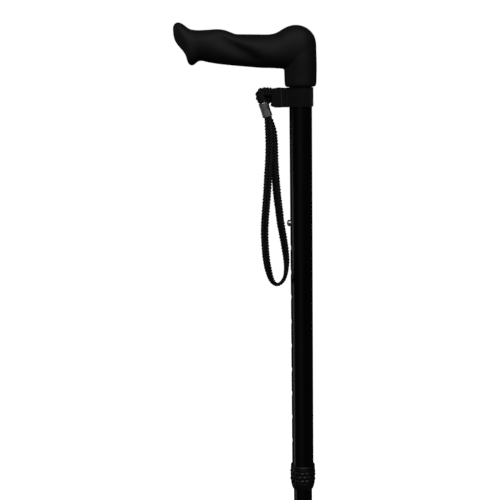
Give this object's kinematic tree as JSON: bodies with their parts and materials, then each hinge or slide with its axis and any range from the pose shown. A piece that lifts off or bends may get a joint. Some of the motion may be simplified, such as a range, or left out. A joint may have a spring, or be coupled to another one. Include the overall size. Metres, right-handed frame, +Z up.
{
  "type": "quad walking cane",
  "caption": "Walking cane with a moulded palm grip, telescoping shaft with a spring button and lock collar, wrist strap and small four-footed base.",
  "frame": {"origin": "on the floor, under the middle of the cane's overall box without the strap cord", "axes": "+Z up the shaft; -X towards the nose of the palm grip; Y across the grip"},
  "size_m": [0.224, 0.151, 0.7408],
  "materials": {
    "grip_plastic": "matte moulded",
    "black_tube": "gloss",
    "base_metal": "satin powder coat",
    "lock_plastic": "satin moulded",
    "nylon": "natural moulded",
    "webbing": "woven",
    "braided_cord": "braided",
    "bright_metal": "bright plated",
    "steel": "zinc plated",
    "rubber": "matte"
  },
  "bodies": {
    "base": {"lower_tube": "black_tube", "guide_bush": "nylon", "button_spring": "steel", "stem_plug": "nylon", "stem_bolt": "steel", "base_hub": "base_metal", "clamp_plate": "base_metal", "leg_tube_near": "black_tube", "leg_tube_far": "black_tube", "leg_bolt_1": "steel", "leg_bolt_2": "steel", "leg_bolt_3": "steel", "leg_bolt_4": "steel", "leg_nut_1": "steel", "leg_nut_2": "steel", "leg_nut_3": "steel", "leg_nut_4": "steel", "foot_tip_1": "rubber", "foot_tip_2": "rubber", "foot_tip_3": "rubber", "foot_tip_4": "rubber", "tip_washer_1": "steel", "tip_washer_2": "steel", "tip_washer_3": "steel", "tip_washer_4": "steel"},
    "upper": {"handle_grip": "grip_plastic", "handle_plug": "nylon", "handle_screw": "steel", "upper_tube": "black_tube", "threaded_collar": "lock_plastic"},
    "button": {"height_button": "bright_metal"},
    "lock_ring": {"grip_ring": "nylon"},
    "lock_collar": {"lock_nut": "lock_plastic"},
    "strap": {"strap_band": "webbing"},
    "wrist_loop": {"wrist_cord": "braided_cord", "eye_cord": "braided_cord", "cord_ferrule": "bright_metal"}
  },
  "joints": [
    {"name": "height_adjust", "type": "slide", "parent": "base", "child": "upper", "axis": [0, 0, 1], "range_m": [0, 0.2286], "deforming": ["height_button", "button_spring"]},
    {"name": "button_press", "type": "slide", "parent": "base", "child": "button", "axis": [1, 0, 0], "range_m": [0, 0.0048], "stiffness_N_per_m": 900, "springref_m": -0.002},
    {"name": "collar_travel", "type": "slide", "parent": "upper", "child": "lock_ring", "axis": [0, 0, -1], "range_m": [0, 0.002]},
    {"name": "collar_turn", "type": "hinge", "parent": "lock_ring", "child": "lock_collar", "pos_m": [0.0105, 0, 0.275], "axis": [0, 0, -1], "range_deg": [0, 360]},
    {"name": "strap_swivel", "type": "hinge", "parent": "upper", "child": "strap", "pos_m": [0.0105, 0, 0.668], "axis": [0, 0, 1], "continuous": true},
    {"name": "strap_swing", "type": "hinge", "parent": "strap", "child": "wrist_loop", "pos_m": [-0.026, 0, 0.6712], "axis": [0, 1, 0], "range_deg": [0, 80], "deforming": ["eye_cord"]}
  ],
  "couplings": [
    {"joint": "collar_travel", "follows": "collar_turn", "m_per_rad": 0.000318}
  ]
}
